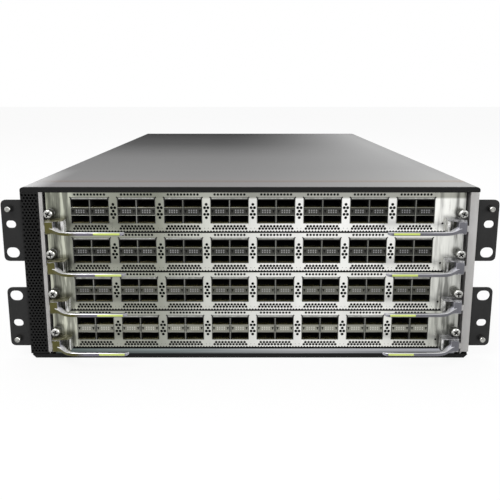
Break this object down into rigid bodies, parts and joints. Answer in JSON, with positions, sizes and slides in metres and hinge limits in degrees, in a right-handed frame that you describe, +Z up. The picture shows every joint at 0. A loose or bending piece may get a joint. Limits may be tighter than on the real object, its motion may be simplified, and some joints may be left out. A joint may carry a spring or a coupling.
{
  "type": "modular chassis switch",
  "caption": "Rack-mount network switch chassis with slide-in line cards of port cages, ejector levers and thumbscrews, perforated side inlet, rack ears, rear power supplies and fans.",
  "frame": {"origin": "centre of the chassis underside", "axes": "+X to the right seen from the front, +Y to the back, +Z up"},
  "size_m": [0.4826, 0.695, 0.175],
  "materials": {
    "dark_paint": "satin black powder coat",
    "cover_paint": "dark grey satin paint",
    "cage_steel": "plated sheet steel",
    "sill_steel": "plated sheet steel",
    "panel_steel": "nickel-plated sheet steel",
    "tray_steel": "zinc-plated sheet steel",
    "board": "green solder mask",
    "port_steel": "tin-plated cage sheet",
    "lever_metal": "cast, grey coat",
    "screw_metal": "bright nickel",
    "connector_plastic": "black moulding",
    "frame_steel": "zinc-plated sheet steel",
    "supply_case": "plated case",
    "fan_plastic": "black moulding"
  },
  "bodies": {
    "chassis": {"chassis_base": "dark_paint", "top_beam": "dark_paint", "top_cover": "cover_paint", "vent_column": "dark_paint", "cage_wall_left": "cage_steel", "cage_wall_right": "cage_steel", "nut_tabs": "cage_steel", "guide_rails": "cage_steel", "front_sill": "sill_steel", "midplane": "board", "midplane_connectors": "connector_plastic", "rear_frame": "frame_steel", "ear_studs": "screw_metal", "ear_lower_left": "dark_paint", "ear_upper_left": "dark_paint", "ear_lower_right": "dark_paint", "ear_upper_right": "dark_paint"},
    "card_1": {"card_1_panel": "panel_steel", "card_1_tray": "tray_steel", "card_1_board": "board", "card_1_cages": "port_steel"},
    "card_1_lever_left": {"card_1_lever_left": "lever_metal"},
    "card_1_screw_left": {"card_1_screw_left": "screw_metal"},
    "card_1_lever_right": {"card_1_lever_right": "lever_metal"},
    "card_1_screw_right": {"card_1_screw_right": "screw_metal"},
    "card_2": {"card_2_panel": "panel_steel", "card_2_tray": "tray_steel", "card_2_board": "board", "card_2_cages": "port_steel"},
    "card_2_lever_left": {"card_2_lever_left": "lever_metal"},
    "card_2_screw_left": {"card_2_screw_left": "screw_metal"},
    "card_2_lever_right": {"card_2_lever_right": "lever_metal"},
    "card_2_screw_right": {"card_2_screw_right": "screw_metal"},
    "card_3": {"card_3_panel": "panel_steel", "card_3_tray": "tray_steel", "card_3_board": "board", "card_3_cages": "port_steel"},
    "card_3_lever_left": {"card_3_lever_left": "lever_metal"},
    "card_3_screw_left": {"card_3_screw_left": "screw_metal"},
    "card_3_lever_right": {"card_3_lever_right": "lever_metal"},
    "card_3_screw_right": {"card_3_screw_right": "screw_metal"},
    "card_4": {"card_4_panel": "panel_steel", "card_4_tray": "tray_steel", "card_4_board": "board", "card_4_cages": "port_steel"},
    "card_4_lever_left": {"card_4_lever_left": "lever_metal"},
    "card_4_screw_left": {"card_4_screw_left": "screw_metal"},
    "card_4_lever_right": {"card_4_lever_right": "lever_metal"},
    "card_4_screw_right": {"card_4_screw_right": "screw_metal"},
    "power_supply_1": {"power_supply_1": "supply_case"},
    "power_supply_2": {"power_supply_2": "supply_case"},
    "power_supply_3": {"power_supply_3": "supply_case"},
    "power_supply_4": {"power_supply_4": "supply_case"},
    "fan_module_1": {"fan_module_1": "fan_plastic"},
    "fan_rotor_1": {"fan_rotor_1": "fan_plastic"},
    "fan_module_2": {"fan_module_2": "fan_plastic"},
    "fan_rotor_2": {"fan_rotor_2": "fan_plastic"},
    "fan_module_3": {"fan_module_3": "fan_plastic"},
    "fan_rotor_3": {"fan_rotor_3": "fan_plastic"}
  },
  "joints": [
    {"name": "card_1_slide", "type": "slide", "parent": "chassis", "child": "card_1", "axis": [0, -1, 0], "range_m": [0, 0.3]},
    {"name": "card_1_lever_left_turn", "type": "hinge", "parent": "card_1", "child": "card_1_lever_left", "pos_m": [-0.1909, -0.3305, 0.0115], "axis": [0, 0, -1], "range_deg": [0, 70]},
    {"name": "card_1_screw_left_turn", "type": "hinge", "parent": "card_1", "child": "card_1_screw_left", "pos_m": [-0.1926, -0.325, 0.0301], "axis": [0, -1, 0], "continuous": true},
    {"name": "card_1_lever_right_turn", "type": "hinge", "parent": "card_1", "child": "card_1_lever_right", "pos_m": [0.2021, -0.3305, 0.0115], "axis": [0, 0, 1], "range_deg": [0, 70]},
    {"name": "card_1_screw_right_turn", "type": "hinge", "parent": "card_1", "child": "card_1_screw_right", "pos_m": [0.2038, -0.325, 0.0301], "axis": [0, -1, 0], "continuous": true},
    {"name": "card_2_slide", "type": "slide", "parent": "chassis", "child": "card_2", "axis": [0, -1, 0], "range_m": [0, 0.3]},
    {"name": "card_2_lever_left_turn", "type": "hinge", "parent": "card_2", "child": "card_2_lever_left", "pos_m": [-0.1909, -0.3305, 0.0515], "axis": [0, 0, -1], "range_deg": [0, 70]},
    {"name": "card_2_screw_left_turn", "type": "hinge", "parent": "card_2", "child": "card_2_screw_left", "pos_m": [-0.1926, -0.325, 0.0701], "axis": [0, -1, 0], "continuous": true},
    {"name": "card_2_lever_right_turn", "type": "hinge", "parent": "card_2", "child": "card_2_lever_right", "pos_m": [0.2021, -0.3305, 0.0515], "axis": [0, 0, 1], "range_deg": [0, 70]},
    {"name": "card_2_screw_right_turn", "type": "hinge", "parent": "card_2", "child": "card_2_screw_right", "pos_m": [0.2038, -0.325, 0.0701], "axis": [0, -1, 0], "continuous": true},
    {"name": "card_3_slide", "type": "slide", "parent": "chassis", "child": "card_3", "axis": [0, -1, 0], "range_m": [0, 0.3]},
    {"name": "card_3_lever_left_turn", "type": "hinge", "parent": "card_3", "child": "card_3_lever_left", "pos_m": [-0.1909, -0.3305, 0.0915], "axis": [0, 0, -1], "range_deg": [0, 70]},
    {"name": "card_3_screw_left_turn", "type": "hinge", "parent": "card_3", "child": "card_3_screw_left", "pos_m": [-0.1926, -0.325, 0.1101], "axis": [0, -1, 0], "continuous": true},
    {"name": "card_3_lever_right_turn", "type": "hinge", "parent": "card_3", "child": "card_3_lever_right", "pos_m": [0.2021, -0.3305, 0.0915], "axis": [0, 0, 1], "range_deg": [0, 70]},
    {"name": "card_3_screw_right_turn", "type": "hinge", "parent": "card_3", "child": "card_3_screw_right", "pos_m": [0.2038, -0.325, 0.1101], "axis": [0, -1, 0], "continuous": true},
    {"name": "card_4_slide", "type": "slide", "parent": "chassis", "child": "card_4", "axis": [0, -1, 0], "range_m": [0, 0.3]},
    {"name": "card_4_lever_left_turn", "type": "hinge", "parent": "card_4", "child": "card_4_lever_left", "pos_m": [-0.1909, -0.3305, 0.1315], "axis": [0, 0, -1], "range_deg": [0, 70]},
    {"name": "card_4_screw_left_turn", "type": "hinge", "parent": "card_4", "child": "card_4_screw_left", "pos_m": [-0.1926, -0.325, 0.1501], "axis": [0, -1, 0], "continuous": true},
    {"name": "card_4_lever_right_turn", "type": "hinge", "parent": "card_4", "child": "card_4_lever_right", "pos_m": [0.2021, -0.3305, 0.1315], "axis": [0, 0, 1], "range_deg": [0, 70]},
    {"name": "card_4_screw_right_turn", "type": "hinge", "parent": "card_4", "child": "card_4_screw_right", "pos_m": [0.2038, -0.325, 0.1501], "axis": [0, -1, 0], "continuous": true},
    {"name": "power_supply_1_slide", "type": "slide", "parent": "chassis", "child": "power_supply_1", "axis": [0, 1, 0], "range_m": [0, 0.2]},
    {"name": "power_supply_2_slide", "type": "slide", "parent": "chassis", "child": "power_supply_2", "axis": [0, 1, 0], "range_m": [0, 0.2]},
    {"name": "power_supply_3_slide", "type": "slide", "parent": "chassis", "child": "power_supply_3", "axis": [0, 1, 0], "range_m": [0, 0.2]},
    {"name": "power_supply_4_slide", "type": "slide", "parent": "chassis", "child": "power_supply_4", "axis": [0, 1, 0], "range_m": [0, 0.2]},
    {"name": "fan_module_1_slide", "type": "slide", "parent": "chassis", "child": "fan_module_1", "axis": [0, 1, 0], "range_m": [0, 0.08]},
    {"name": "fan_rotor_1_spin", "type": "hinge", "parent": "fan_module_1", "child": "fan_rotor_1", "pos_m": [-0.14597, 0.322, 0.1098], "axis": [0, 1, 0], "continuous": true},
    {"name": "fan_module_2_slide", "type": "slide", "parent": "chassis", "child": "fan_module_2", "axis": [0, 1, 0], "range_m": [0, 0.08]},
    {"name": "fan_rotor_2_spin", "type": "hinge", "parent": "fan_module_2", "child": "fan_rotor_2", "pos_m": [0, 0.322, 0.1098], "axis": [0, 1, 0], "continuous": true},
    {"name": "fan_module_3_slide", "type": "slide", "parent": "chassis", "child": "fan_module_3", "axis": [0, 1, 0], "range_m": [0, 0.08]},
    {"name": "fan_rotor_3_spin", "type": "hinge", "parent": "fan_module_3", "child": "fan_rotor_3", "pos_m": [0.14597, 0.322, 0.1098], "axis": [0, 1, 0], "continuous": true}
  ]
}
